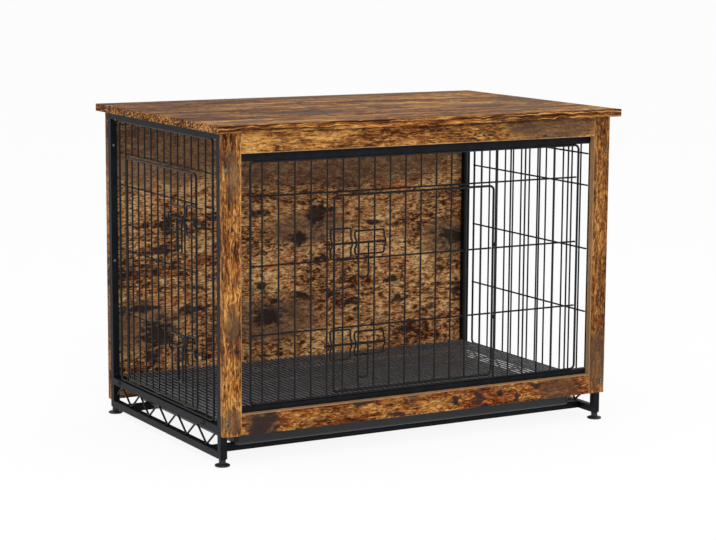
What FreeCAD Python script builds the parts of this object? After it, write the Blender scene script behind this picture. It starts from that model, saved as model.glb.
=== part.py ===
"""Dog crate end table: wooden table top, facade and back on a steel wire crate.

Millimetres, +Z up. The origin is on the floor under the middle of the table top,
+X runs to the right along the front and the front faces -Y.
"""
import FreeCAD, Part
import math
import os
import Sketcher
from FreeCAD import Matrix, Placement, Rotation, Vector

doc = FreeCAD.newDocument("dog_crate_end_table")

# ---------------------------------------------------------------- driving sizes
SIZES = {
    # overall
    "top_length": 980, "top_depth": 630, "top_thickness": 16, "total_height": 700,
    "side_overhang": 17.5, "front_overhang": 18, "back_overhang": 12,
    # wooden boards
    "board_thickness": 15, "post_width": 41, "top_rail_height": 43,
    "bottom_rail_height": 44, "facade_lift": 64, "back_lift": 30, "edge_round": 0.8,
    # square steel tube
    "tube_size": 15, "tube_wall": 1.2, "leg_lift": 15, "middle_tube_lift": 68,
    "frame_bottom_lift": 104, "frame_top_drop": 45, "cross_bar_inset": 45,
    # wire
    "rim_wire": 5, "field_wire": 3.8, "rim_corner": 10, "wire_bite": 0.3,
    "truss_wire": 4.5, "truss_pitch": 97.5, "truss_start": 18.25, "truss_bend": 7,
    # front grille and door
    "front_panel_inset": 40, "front_wire_pitch": 37.6, "front_panel_gap": 0.5,
    "doorway_drop": 71, "front_bar_drop": 143, "bar_pitch": 143,
    "front_door_latch_gap": 16.6, "door_bottom_gap": 8.5, "door_top_gap": 7.5,
    # left side grille and door
    "side_panel_inset": 32, "side_wire_pitch": 34, "side_bar_drop": 71,
    "side_door_latch_gap": 45,
    # hinges of both doors
    "hinge_offset": 6, "hinge_clearance": 0.25, "hinge_sleeve_length": 8,
    "hinge_bar_gap": 4,
    # slide bolts on both doors
    "bolt_rod": 5, "bolt_clearance": 0.3, "bolt_travel": 16, "bolt_nose": 6.4,
    "bolt_tail": 121, "front_bolt_step": 35, "side_upper_bolt_step": 36,
    "side_lower_bolt_step": 23, "handle_wire": 4, "handle_drop": 72,
    "handle_width": 24, "handle_start": 53, "handle_bend": 8, "handle_bite": 1,
    "guide_wire": 4, "guide_bend": 5, "outer_guide_start": 11, "outer_guide_width": 48,
    "outer_guide_height": 63, "inner_guide_start": 47, "inner_guide_width": 70,
    "inner_guide_height": 49, "guide_bow": 5, "guide_slope": 7,
    "keeper_wire": 3, "keeper_reach": 6.8, "keeper_bend": 3,
    # floor grid
    "floor_wire_pitch": 12.5, "floor_cross_wire": 4, "floor_cross_pitch": 144,
    "floor_first_cross": 49, "floor_seat": 4, "floor_end_gap": 3,
    # pull-out tray
    "tray_side_gap": 34, "tray_front_gap": 18, "tray_back_gap": 10, "tray_height": 33,
    "tray_wall": 2, "tray_bottom_round": 7, "tray_corner": 12, "tray_lip": 5,
    "tray_seat_gap": 0.2,
    # levelling feet and leg plugs
    "foot_disc": 32, "foot_disc_height": 5, "foot_collar": 14.4, "foot_shank": 8,
    "foot_shank_length": 18, "foot_seat_gap": 0.2, "shank_clearance": 0.05, "plug_depth": 20,
    "plug_clearance": 0.1,
    # fasteners
    "bolt_head": 11, "bolt_head_height": 3, "bolt_head_edge": 1.2, "bolt_shank": 6,
    "bolt_hole_clearance": 0.2, "bolt_end_gap": 2, "post_bolt_top": 75,
    "post_bolt_bottom": 27, "screw_head": 9, "screw_shank": 4, "screw_bite": 11,
    "screw_end_gap": 0.5,
    "floor_bolt_front": 71, "floor_bolt_rear": 31, "screw_inset": 16,
}

sheet = doc.addObject("Spreadsheet::Sheet", "Sizes")
for row, (alias, number) in enumerate(SIZES.items(), start=1):
    sheet.set("A%d" % row, alias)
    sheet.set("B%d" % row, str(number))
    sheet.setAlias("B%d" % row, alias)
doc.recompute()


def expr(text):
    """A formula in aliases, with each alias read from the sheet."""
    words = []
    word = ""
    for letter in text + " ":
        if letter.isalnum() or letter == "_" or letter == ".":
            word += letter
            continue
        words.append("Sizes." + word if word in SIZES else word)
        words.append(letter)
        word = ""
    return "".join(words).strip()


def size(text):
    """The number that a formula in aliases gives now."""
    return float(sheet.evalExpression(expr(text)))


# ---------------------------------------------------------------- shared levels
UNDERSIDE = "(total_height - top_thickness)"
LEFT = "(side_overhang - top_length / 2)"
RIGHT = "(top_length / 2 - side_overhang)"
FACADE_FRONT = "(front_overhang - top_depth / 2)"
FACADE_BACK = "(" + FACADE_FRONT + " + board_thickness)"
BACK = "(top_depth / 2 - back_overhang)"
REAR_LEG_BACK = "(" + BACK + " - board_thickness)"
REAR_LEG_FRONT = "(" + REAR_LEG_BACK + " - tube_size)"
FRONT_LEG_BACK = "(" + FACADE_BACK + " + tube_size)"
LEG_SPAN = "(" + REAR_LEG_FRONT + " - " + FRONT_LEG_BACK + ")"
MIDDLE_TOP = "(middle_tube_lift + tube_size)"
FRAME_TOP = "(" + UNDERSIDE + " - frame_top_drop)"
FRAME_LEFT = "(" + LEFT + " + tube_size)"
FRAME_INNER = "(" + FRAME_LEFT + " + tube_size)"

# the axes of a body whose own Z runs along the row's X, Y or Z
ALONG = {
    "x": Rotation(Vector(0, 1, 0), Vector(0, 0, 1), Vector(1, 0, 0), "XYZ"),
    "y": Rotation(Vector(0, 0, 1), Vector(1, 0, 0), Vector(0, 1, 0), "XYZ"),
    "z": Rotation(),
}
subparts = []


# ---------------------------------------------------------------- sketch helpers
def place(item, corner, rotation=None):
    """Bind a sub-part's Placement to three formulas."""
    item.Placement = Placement(Vector(), rotation or Rotation())
    for axis, formula in zip("xyz", corner):
        item.setExpression("Placement.Base." + axis, expr(formula))


def new_body(label):
    body = doc.addObject("PartDesign::Body", label)
    body.Label = label
    body.AllowCompound = True
    subparts.append(body)
    return body


def origin_plane(body, role):
    return next(f for f in body.Origin.OriginFeatures if f.Role == role)


def new_sketch(body, name, role, offset=("0", "0", "0")):
    sketch = body.newObject("Sketcher::SketchObject", body.Label + "_" + name)
    sketch.AttachmentSupport = [(origin_plane(body, role), "")]
    sketch.MapMode = "FlatFace"
    for axis, formula in zip("xyz", offset):
        sketch.setExpression("AttachmentOffset.Base." + axis, expr(formula))
    return sketch


def fix(sketch, formula, *constraint):
    """Add a dimension and bind it to a formula."""
    index = sketch.addConstraint(Sketcher.Constraint(*constraint, size(formula)))
    sketch.setExpression("Constraints[%d]" % index, expr(formula))


def draw_rectangle(sketch, width, height, inset="0"):
    """A rectangle whose low corner is the sketch's origin, or inset from it."""
    low = size(inset)
    right, top = size(width) - low, size(height) - low
    corners = [Vector(low, low), Vector(right, low), Vector(right, top), Vector(low, top)]
    first = sketch.GeometryCount
    for start, end in zip(corners, corners[1:] + corners[:1]):
        sketch.addGeometry(Part.LineSegment(start, end), False)
    for side in range(4):
        after = first + (side + 1) % 4
        sketch.addConstraint(Sketcher.Constraint("Coincident", first + side, 2, after, 1))
        level = "Horizontal" if side % 2 == 0 else "Vertical"
        sketch.addConstraint(Sketcher.Constraint(level, first + side))
    if inset == "0":
        sketch.addConstraint(Sketcher.Constraint("Coincident", first, 1, -1, 1))
    else:
        fix(sketch, inset, "DistanceX", -1, 1, first, 1)
        fix(sketch, inset, "DistanceY", -1, 1, first, 1)
    fix(sketch, "%s - 2 * (%s)" % (width, inset), "DistanceX", first, 1, first, 2)
    fix(sketch, "%s - 2 * (%s)" % (height, inset), "DistanceY", first + 1, 1, first + 1, 2)


def draw_circle(sketch, diameter):
    circle = Part.Circle(Vector(), Vector(0, 0, 1), size(diameter) / 2)
    sketch.addGeometry(circle, False)
    sketch.addConstraint(Sketcher.Constraint("Coincident", 0, 3, -1, 1))
    fix(sketch, "(%s) / 2" % diameter, "Radius", 0)


def pad(body, sketch, length, name="pad"):
    feature = body.newObject("PartDesign::Pad", body.Label + "_" + name)
    feature.Profile = sketch
    feature.setExpression("Length", expr(length))
    feature.Refine = False
    return feature


def cut_through(body, sketch, name="hole"):
    """Pocket both ways from the sketch through the whole piece."""
    feature = body.newObject("PartDesign::Pocket", body.Label + "_" + name)
    feature.Profile = sketch
    feature.Type = "ThroughAll"
    feature.Midplane = True
    return feature


def repeat(body, feature, axis, count, pitch, name="row"):
    """Repeat a feature along one of the body's own axes."""
    pattern = body.newObject("PartDesign::LinearPattern", body.Label + "_" + name)
    pattern.Originals = [feature]
    pattern.Direction = (origin_plane(body, axis), [""])
    pattern.setExpression("Length", expr("(%s - 1) * (%s)" % (count, pitch)))
    pattern.setExpression("Occurrences", expr(count))
    pattern.Refine = False
    body.Tip = pattern
    return pattern


# ---------------------------------------------------------------- boards and tubes
def make_board(label, extent, corner, round_edges=True):
    """A flat board: width by depth in its own XY plane, padded up by its height."""
    body = new_body(label)
    sketch = new_sketch(body, "outline", "XY_Plane")
    draw_rectangle(sketch, extent[0], extent[1])
    block = pad(body, sketch, extent[2])
    doc.recompute()
    if round_edges:
        edges = ["Edge%d" % number for number in range(1, len(block.Shape.Edges) + 1)]
        rounding = body.newObject("PartDesign::Fillet", label + "_rounding")
        rounding.Base = (block, edges)
        rounding.setExpression("Radius", expr("edge_round"))
        body.Tip = rounding
    place(body, corner)
    return body


def make_tube(label, axis, length, corner):
    """A hollow square tube along one axis, from its low corner."""
    body = new_body(label)
    sketch = new_sketch(body, "section", "XY_Plane")
    draw_rectangle(sketch, "tube_size", "tube_size")
    draw_rectangle(sketch, "tube_size", "tube_size", "tube_wall")
    pad(body, sketch, length)
    place(body, corner, ALONG[axis])
    return body


def drill(body, role, offset, diameter, name):
    sketch = new_sketch(body, name + "_circle", role, offset)
    draw_circle(sketch, diameter)
    doc.recompute()
    return cut_through(body, sketch, name)


table_top = make_board("table_top", ("top_length", "top_depth", "top_thickness"),
                       ("-top_length / 2", "-top_depth / 2", UNDERSIDE))
SCREW_STEPS = ("screw_inset", LEG_SPAN + " - screw_inset")
SCREW_HOLE = "screw_shank + 2 * bolt_hole_clearance"
for number, across in enumerate(("side_overhang + tube_size / 2",
                                 "top_length - side_overhang - tube_size / 2")):
    for step, depth in enumerate(SCREW_STEPS):
        name = "screw_hole_%d_%d" % (number, step)
        along = "front_overhang + board_thickness + tube_size + " + depth
        hole = drill(table_top, "XY_Plane", (across, along, "0"), SCREW_HOLE, name)
        hole.Type = "Length"
        hole.Midplane = False
        hole.Reversed = True
        hole.setExpression("Length", expr("screw_bite + screw_end_gap"))
FACADE_HEIGHT = UNDERSIDE + " - facade_lift"
POST_BOLT_LEVELS = (
    "post_bolt_bottom",
    FACADE_HEIGHT + " - post_bolt_top",
)
BOLT_HOLE = "bolt_shank + 2 * bolt_hole_clearance"
for side, post_x, bolt_x in (
    ("left", LEFT, "tube_size / 2"),
    ("right", RIGHT + " - post_width", "post_width - tube_size / 2"),
):
    post = make_board("front_%s_post" % side, ("post_width", "board_thickness", FACADE_HEIGHT),
                      (post_x, FACADE_FRONT, "facade_lift"))
    for number, level in enumerate(POST_BOLT_LEVELS):
        drill(post, "XZ_Plane", (bolt_x, level, "0"), BOLT_HOLE, "bolt_hole_%d" % number)
RAIL_LENGTH = RIGHT + " - " + LEFT + " - 2 * post_width"
make_board("front_top_rail", (RAIL_LENGTH, "board_thickness", "top_rail_height"),
           (LEFT + " + post_width", FACADE_FRONT, UNDERSIDE + " - top_rail_height"))
make_board("front_bottom_rail", (RAIL_LENGTH, "board_thickness", "bottom_rail_height"),
           (LEFT + " + post_width", FACADE_FRONT, "facade_lift"))
back_board = make_board("back_board",
                        (RIGHT + " - " + LEFT, "board_thickness", UNDERSIDE + " - back_lift"),
                        (LEFT, REAR_LEG_BACK, "back_lift"))
BOLT_LOW = "facade_lift + post_bolt_bottom"
BOLT_HIGH = UNDERSIDE + " - post_bolt_top"
BACK_BOLT_LEVELS = (
    BOLT_LOW + " - back_lift",
    "(" + BOLT_LOW + " + " + BOLT_HIGH + ") / 2 - back_lift",
    BOLT_HIGH + " - back_lift",
)
for number, level in enumerate(BACK_BOLT_LEVELS):
    for side, bolt_x in (("left", "tube_size / 2"),
                         ("right", RIGHT + " - " + LEFT + " - tube_size / 2")):
        drill(back_board, "XZ_Plane", (bolt_x, level, "0"), BOLT_HOLE,
              "bolt_hole_%s_%d" % (side, number))

for side, outer in (("left", LEFT), ("right", RIGHT + " - tube_size")):
    leg_height = UNDERSIDE + " - leg_lift"
    front_leg = make_tube(side + "_front_leg", "z", leg_height, (outer, FACADE_BACK, "leg_lift"))
    rear_leg = make_tube(side + "_rear_leg", "z", leg_height, (outer, REAR_LEG_FRONT, "leg_lift"))
    for number, level in enumerate(POST_BOLT_LEVELS):
        drill(front_leg, "XZ_Plane", ("tube_size / 2", level + " + facade_lift - leg_lift", "0"),
              BOLT_HOLE, "bolt_hole_%d" % number)
    for number, level in enumerate(BACK_BOLT_LEVELS):
        drill(rear_leg, "XZ_Plane", ("tube_size / 2", level + " + back_lift - leg_lift", "0"),
              BOLT_HOLE, "bolt_hole_%d" % number)
    make_tube(side + "_bottom_tube", "y", LEG_SPAN, (outer, FRONT_LEG_BACK, "leg_lift"))
    middle = make_tube(side + "_middle_tube", "y", LEG_SPAN,
                       (outer, FRONT_LEG_BACK, "middle_tube_lift"))
    for number, level in enumerate(("floor_bolt_front", LEG_SPAN + " - floor_bolt_rear")):
        drill(middle, "XZ_Plane", ("tube_size / 2", level, "0"), BOLT_HOLE,
              "bolt_hole_%d" % number)
    top_tube = make_tube(side + "_top_tube", "y", LEG_SPAN,
                         (outer, FRONT_LEG_BACK, UNDERSIDE + " - tube_size"))
    for number, level in enumerate(SCREW_STEPS):
        drill(top_tube, "YZ_Plane", ("tube_size / 2", level, "0"), SCREW_HOLE,
              "screw_hole_%d" % number)

FRAME_HEIGHT = FRAME_TOP + " - frame_bottom_lift"
FRAME_RUN = RIGHT + " - " + LEFT + " - 4 * tube_size"
make_tube("front_frame_left_tube", "z", FRAME_HEIGHT,
          (FRAME_LEFT, FACADE_BACK, "frame_bottom_lift"))
make_tube("front_frame_right_tube", "z", FRAME_HEIGHT,
          (RIGHT + " - 2 * tube_size", FACADE_BACK, "frame_bottom_lift"))
make_tube("front_frame_top_tube", "x", FRAME_RUN,
          (FRAME_INNER, FACADE_BACK, FRAME_TOP + " - tube_size"))
make_tube("front_frame_bottom_tube", "x", FRAME_RUN,
          (FRAME_INNER, FACADE_BACK, "frame_bottom_lift"))
BAR_RUN = RIGHT + " - " + LEFT + " - 2 * tube_size"
make_tube("front_cross_bar", "x", BAR_RUN,
          (FRAME_LEFT, FRONT_LEG_BACK + " + cross_bar_inset", "leg_lift"))
make_tube("rear_cross_bar", "x", BAR_RUN,
          (FRAME_LEFT, REAR_LEG_FRONT + " - cross_bar_inset - tube_size", "leg_lift"))
make_tube("rear_middle_tube", "x", BAR_RUN,
          (FRAME_LEFT, REAR_LEG_FRONT, "middle_tube_lift"))

# ---------------------------------------------------------------- wire panels
def draw_rounded(sketch, width, height, corner, inset="0"):
    """A rounded rectangle from the sketch's origin, drawn in by the inset."""
    low, radius = size(inset), size(corner)
    right, top = size(width) - low, size(height) - low
    first = sketch.GeometryCount
    knots = [
        (Vector(low + radius, low), Vector(right - radius, low)),
        (Vector(right, low + radius), Vector(right, top - radius)),
        (Vector(right - radius, top), Vector(low + radius, top)),
        (Vector(low, top - radius), Vector(low, low + radius)),
    ]
    centres = [(right - radius, low + radius), (right - radius, top - radius),
               (low + radius, top - radius), (low + radius, low + radius)]
    for side in range(4):
        sketch.addGeometry(Part.LineSegment(*knots[side]), False)
        circle = Part.Circle(Vector(*centres[side]), Vector(0, 0, 1), radius)
        begin = math.radians(270 + 90 * side)
        sketch.addGeometry(Part.ArcOfCircle(circle, begin, begin + math.pi / 2), False)
    for side in range(4):
        line = first + 2 * side
        after = first + (2 * side + 2) % 8
        sketch.addConstraint(Sketcher.Constraint("Tangent", line, 2, line + 1, 1))
        sketch.addConstraint(Sketcher.Constraint("Tangent", line + 1, 2, after, 1))
        level = "Horizontal" if side % 2 == 0 else "Vertical"
        sketch.addConstraint(Sketcher.Constraint(level, line))
        if side:
            sketch.addConstraint(Sketcher.Constraint("Equal", first + 1, line + 1))
    fix(sketch, corner, "Radius", first + 1)
    fix(sketch, "%s + %s" % (inset, corner), "DistanceX", -1, 1, first, 1)
    fix(sketch, inset, "DistanceY", -1, 1, first, 1)
    fix(sketch, "%s - 2 * (%s) - 2 * (%s)" % (width, inset, corner),
        "DistanceX", first, 1, first, 2)
    fix(sketch, "%s - 2 * (%s) - 2 * (%s)" % (height, inset, corner),
        "DistanceY", first + 2, 1, first + 2, 2)


def make_ring(label, width, height, corner, rotation):
    """A closed ring of rim wire; width and height are of its centre line."""
    body = new_body(label)
    path = new_sketch(body, "path", "XZ_Plane")
    draw_rounded(path, width, height, "rim_corner")
    section = new_sketch(body, "section", "YZ_Plane", ("0", "0", "(%s) / 2" % width))
    draw_circle(section, "rim_wire")
    pipe = body.newObject("PartDesign::AdditivePipe", label + "_pipe")
    pipe.Profile = section
    pipe.Spine = (path, [])
    place(body, corner, rotation)
    return body


def make_grille(label, uprights, bars, corner, rotation, behind):
    """Upright wires with bars across their back.

    uprights: (first, count, pitch, low, length); each of bars: (start, length,
    first level, count, pitch). behind is +1 or -1: the body's Y side of the bars.
    """
    body = new_body(label)
    setback = "%d * (field_wire - wire_bite)" % behind
    for number, (start, length, level, count, pitch) in enumerate(bars):
        sketch = new_sketch(body, "bar_section_%d" % number, "YZ_Plane",
                            (setback, level, start))
        draw_circle(sketch, "field_wire")
        bar = pad(body, sketch, length, "bar_%d" % number)
        if count != "1":
            repeat(body, bar, "Z_Axis", count, pitch, "bars_%d" % number)
    first, count, pitch, low, length = uprights
    sketch = new_sketch(body, "upright_section", "XY_Plane", (first, "0", low))
    draw_circle(sketch, "field_wire")
    upright = pad(body, sketch, length, "upright")
    if count != "1":
        repeat(body, upright, "X_Axis", count, pitch, "uprights")
    place(body, corner, rotation)
    return body


TURNED = {"front": Rotation(), "left": Rotation(Vector(0, 0, 1), 90),
          "right": Rotation(Vector(0, 0, 1), 90)}
RING_LOW = {"front": "frame_bottom_lift + tube_size + rim_wire / 2",
            "left": MIDDLE_TOP + " + rim_wire / 2"}
RING_HIGH = {"front": FRAME_TOP + " - tube_size - rim_wire / 2",
             "left": UNDERSIDE + " - tube_size - rim_wire / 2"}
RING_WIDTH = {"front": "(" + FRAME_RUN + " - 2 * front_panel_inset)",
              "left": "(" + LEG_SPAN + " - 2 * side_panel_inset)"}
PITCH = {"front": "front_wire_pitch", "left": "side_wire_pitch"}
BAR_DROP = {"front": "(doorway_drop + front_bar_drop)", "left": "(doorway_drop + side_bar_drop)"}
PLANE = {"front": FACADE_BACK + " + front_panel_gap + rim_wire / 2",
         "left": LEFT + " + tube_size / 2", "right": RIGHT + " - tube_size / 2"}
for table in (RING_LOW, RING_HIGH, RING_WIDTH, PITCH, BAR_DROP):
    table["right"] = table["left"]
# how many wires stand on each side of the middle, up to the doorway's edges
DOOR_EDGES = {"front": (6, 5), "left": (6, 6)}
BAR_COUNT = {"front": "2", "left": "3", "right": "3"}
OUTWARD = {"front": -1, "left": 1, "right": -1}


def panel_corner(side):
    """The low corner of a panel's ring, on its centre line."""
    if side == "front":
        return ("-" + RING_WIDTH[side] + " / 2", PLANE[side], RING_LOW[side])
    return (PLANE[side], FRONT_LEG_BACK + " + side_panel_inset", RING_LOW[side])


def panel_height(side):
    return "(" + RING_HIGH[side] + " - (" + RING_LOW[side] + "))"


def wire_at(side, index):
    """Distance from the ring's low side to a numbered wire, 0 in the middle."""
    return "(%s / 2 + %d * %s)" % (RING_WIDTH[side], index, PITCH[side])


def bar_level(side, index):
    """Height of a numbered bar over the ring's low side, 0 the highest."""
    return "(%s - %s - %d * bar_pitch)" % (panel_height(side), BAR_DROP[side], index)


EDGE = "rim_wire / 2"
for side in ("front", "left"):
    corner, turn = panel_corner(side), TURNED[side]
    wide, high, pitch = RING_WIDTH[side], panel_height(side), PITCH[side]
    behind = -OUTWARD[side]
    lowest = bar_level(side, int(BAR_COUNT[side]) - 1)
    edge_low, edge_high = -DOOR_EDGES[side][0], DOOR_EDGES[side][1]
    full = "%s - 2 * %s" % (high, EDGE)
    reach = math.floor((size(wide) / 2 - size("rim_wire")) / size(pitch))
    make_ring(side + "_panel_ring", wide, high, corner, turn)
    low_name, high_name = ("left", "right") if side == "front" else ("front", "back")
    make_grille("%s_grille_%s" % (side, low_name),
                (wire_at(side, -reach), str(reach + edge_low + 1), pitch, EDGE, full),
                [(EDGE, wire_at(side, edge_low) + " - " + EDGE, lowest,
                  BAR_COUNT[side], "bar_pitch")], corner, turn, behind)
    make_grille("%s_grille_%s" % (side, high_name),
                (wire_at(side, edge_high), str(reach - edge_high + 1), pitch, EDGE, full),
                [(wire_at(side, edge_high), "%s - %s - %s" % (wide, wire_at(side, edge_high), EDGE),
                  lowest, BAR_COUNT[side], "bar_pitch")], corner, turn, behind)
    make_grille(side + "_grille_top",
                (wire_at(side, edge_low + 1), str(edge_high - edge_low - 1), pitch,
                 high + " - doorway_drop", "doorway_drop - " + EDGE),
                [(EDGE, "%s - 2 * %s" % (wide, EDGE), high + " - doorway_drop", "1", "0")],
                corner, turn, behind)

corner, turn = panel_corner("right"), TURNED["right"]
wide, high = RING_WIDTH["right"], panel_height("right")
reach = math.floor((size(wide) / 2 - size("rim_wire")) / size("side_wire_pitch"))
across = "%s - 2 * %s" % (wide, EDGE)
make_ring("right_panel_ring", wide, high, corner, turn)
make_grille("right_grille",
            (wire_at("right", -reach), str(2 * reach + 1), "side_wire_pitch", EDGE,
             "%s - 2 * %s" % (high, EDGE)),
            [(EDGE, across, bar_level("right", 2), "3", "bar_pitch"),
             (EDGE, across, high + " - doorway_drop", "1", "0")],
            corner, turn, -OUTWARD["right"])

# ---------------------------------------------------------------- doors
LATCH_GAP = {"front": "front_door_latch_gap", "left": "side_door_latch_gap"}


def door_numbers(side):
    """Door ring: latch side, hinge side, width and height, all on centre lines."""
    latch = "(%s + %s)" % (wire_at(side, -DOOR_EDGES[side][0]), LATCH_GAP[side])
    hinge = "(%s - hinge_offset)" % wire_at(side, DOOR_EDGES[side][1])
    height = "(%s - doorway_drop - door_top_gap - door_bottom_gap)" % panel_height(side)
    return latch, hinge, "(%s - %s)" % (hinge, latch), height


def shifted(side, along, up):
    """A place on a panel, from its ring's low corner."""
    across, depth, level = panel_corner(side)
    if side == "front":
        return ("%s + %s" % (across, along), depth, "%s + %s" % (level, up))
    return (across, "%s + %s" % (depth, along), "%s + %s" % (level, up))


for side, name in (("front", "front_door"), ("left", "side_door")):
    latch, hinge, wide, high = door_numbers(side)
    corner, turn = shifted(side, latch, "door_bottom_gap"), TURNED[side]
    make_ring(name + "_ring", wide, high, corner, turn)
    middle = size(RING_WIDTH[side]) / 2
    pitch = size(PITCH[side])
    first = math.ceil((size(latch) - middle + size("rim_wire")) / pitch)
    last = math.floor((size(hinge) - middle - size("rim_wire")) / pitch)
    count = BAR_COUNT[side]
    lowest = bar_level(side, int(count) - 1) + " - door_bottom_gap"
    make_grille(name + "_grille",
                (wire_at(side, first) + " - " + latch, str(last - first + 1), PITCH[side],
                 EDGE, "%s - 2 * %s" % (high, EDGE)),
                [(EDGE, "%s - 2 * %s" % (wide, EDGE), lowest, count, "bar_pitch")],
                corner, turn, -OUTWARD[side])

    # two sleeves turn on the fixed wire beside the door
    sleeves = new_body(name + "_hinges")
    sketch = new_sketch(sleeves, "section", "XY_Plane")
    draw_circle(sketch, "2 * hinge_offset - rim_wire")
    sketch.addGeometry(Part.Circle(Vector(), Vector(0, 0, 1), size("field_wire") / 2 + 1), False)
    sketch.addConstraint(Sketcher.Constraint("Coincident", 1, 3, -1, 1))
    fix(sketch, "field_wire / 2 + hinge_clearance", "Radius", 1)
    sleeve = pad(sleeves, sketch, "hinge_sleeve_length", "sleeve")
    low_bar = bar_level(side, int(count) - 1)
    repeat(sleeves, sleeve, "Z_Axis", "2",
           "%s + 2 * hinge_bar_gap + hinge_sleeve_length - (%s)" % (bar_level(side, 0), low_bar))
    place(sleeves, shifted(side, wire_at(side, DOOR_EDGES[side][1]),
                           low_bar + " - hinge_bar_gap - hinge_sleeve_length"), turn)


# ---------------------------------------------------------------- bent wire
def bent_wire(points, bend, diameter, closed=False):
    """Round wire along straight runs, with its corners bent to one radius."""
    if closed:
        start = (points[-1] + points[0]) * 0.5
        knees = [start] + points + [start]
    else:
        start = points[0]
        knees = points
    edges = []
    at = start
    for before, knee, after in zip(knees, knees[1:], knees[2:]):
        back = (before - knee).normalize()
        ahead = (after - knee).normalize()
        half = back.getAngle(ahead) / 2
        begin = knee + back * (bend / math.tan(half))
        end = knee + ahead * (bend / math.tan(half))
        inward = (back + ahead).normalize()
        middle = knee + inward * (bend / math.sin(half) - bend)
        edges.append(Part.LineSegment(at, begin).toShape())
        edges.append(Part.Arc(begin, middle, end).toShape())
        at = end
    edges.append(Part.LineSegment(at, knees[-1]).toShape())
    direction = knees[1] - knees[0]
    section = Part.Wire([Part.makeCircle(diameter / 2, start, direction)])
    return Part.Wire(edges).makePipeShell([section], True, False)


def add_shape(label, shapes):
    item = doc.addObject("Part::Feature", label)
    item.Label = label
    item.Shape = shapes[0] if len(shapes) == 1 else Part.makeCompound(shapes)
    subparts.append(item)
    return item


def on_panel(side, along, out, up):
    """A point from a panel's ring corner: along it, outward and up, in numbers."""
    across, depth, level = (size(formula) for formula in panel_corner(side))
    if side == "front":
        return Vector(across + along, depth - out, level + up)
    return Vector(across - out, depth + along, level + up)


ROD_OUT = size("rim_wire / 2 + bolt_clearance + bolt_rod / 2")
BOLT_LEVELS = {
    "front": (bar_level("front", 0) + " + front_bolt_step",
              bar_level("front", 1) + " - front_bolt_step"),
    "left": (bar_level("left", 0) + " - side_upper_bolt_step",
             bar_level("left", 2) + " - side_lower_bolt_step"),
}


def guide_loop(side, latch, level, start, width, height, plane):
    """A closed loop of wire that bows out over the rod at both of its legs."""
    crest = ROD_OUT + size("bolt_rod / 2 + bolt_clearance + guide_wire / 2")
    low, high = latch + start, latch + start + width
    bow, foot = size("guide_bow"), size("guide_bow + guide_slope")
    tall = height / 2
    path = [(low, plane, -tall), (high, plane, -tall), (high, plane, -foot),
            (high, crest, -bow), (high, crest, bow), (high, plane, foot),
            (high, plane, tall), (low, plane, tall), (low, plane, foot),
            (low, crest, bow), (low, crest, -bow), (low, plane, -foot)]
    points = [on_panel(side, along, out, level + up) for along, out, up in path]
    return bent_wire(points, size("guide_bend"), size("guide_wire"), closed=True)


keepers = []
for side, name in (("front", "front_door"), ("left", "side_door")):
    latch = size(door_numbers(side)[0])
    fixed = size(wire_at(side, -DOOR_EDGES[side][0]))
    guides = []
    for formula in BOLT_LEVELS[side]:
        level = size(formula)
        guides.append(guide_loop(side, latch, level, -size("outer_guide_start"),
                                 size("outer_guide_width"), size("outer_guide_height"),
                                 size("rim_wire / 2 + guide_wire / 2")))
        guides.append(guide_loop(side, latch, level, size("inner_guide_start"),
                                 size("inner_guide_width"), size("inner_guide_height"),
                                 size("field_wire / 2 + guide_wire / 2")))
        root = size("field_wire / 2")
        crest = ROD_OUT + size("bolt_rod / 2 + bolt_clearance + keeper_wire / 2")
        reach = size("keeper_reach")
        staple = [(root, -reach), (crest, -reach), (crest, reach), (root, reach)]
        keepers.append(bent_wire([on_panel(side, fixed, out, level + up) for out, up in staple],
                                 size("keeper_bend"), size("keeper_wire")))
    add_shape(name + "_bolt_guides", guides)
add_shape("latch_keepers", keepers)

# ---------------------------------------------------------------- slide bolts
def draw_handle(sketch):
    """A U from its left end, down, across and up again."""
    wide, drop, bend = size("handle_width"), size("handle_drop"), size("handle_bend")
    sketch.addGeometry(Part.LineSegment(Vector(0, 0), Vector(0, bend - drop)), False)
    left = Part.Circle(Vector(bend, bend - drop), Vector(0, 0, 1), bend)
    sketch.addGeometry(Part.ArcOfCircle(left, math.pi, 1.5 * math.pi), False)
    sketch.addGeometry(Part.LineSegment(Vector(bend, -drop), Vector(wide - bend, -drop)), False)
    right = Part.Circle(Vector(wide - bend, bend - drop), Vector(0, 0, 1), bend)
    sketch.addGeometry(Part.ArcOfCircle(right, 1.5 * math.pi, 2 * math.pi), False)
    sketch.addGeometry(Part.LineSegment(Vector(wide, bend - drop), Vector(wide, 0)), False)
    for constraint in (
        ("Coincident", 0, 1, -1, 1), ("Tangent", 0, 2, 1, 1), ("Tangent", 1, 2, 2, 1),
        ("Tangent", 2, 2, 3, 1), ("Tangent", 3, 2, 4, 1), ("Vertical", 0),
        ("Horizontal", 2), ("Vertical", 4), ("Equal", 1, 3), ("Horizontal", 0, 1, 4, 2),
    ):
        sketch.addConstraint(Sketcher.Constraint(*constraint))
    fix(sketch, "handle_bend", "Radius", 1)
    fix(sketch, "handle_width", "DistanceX", 0, 1, 4, 2)
    fix(sketch, "handle_drop", "DistanceY", 2, 1, 0, 1)


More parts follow.
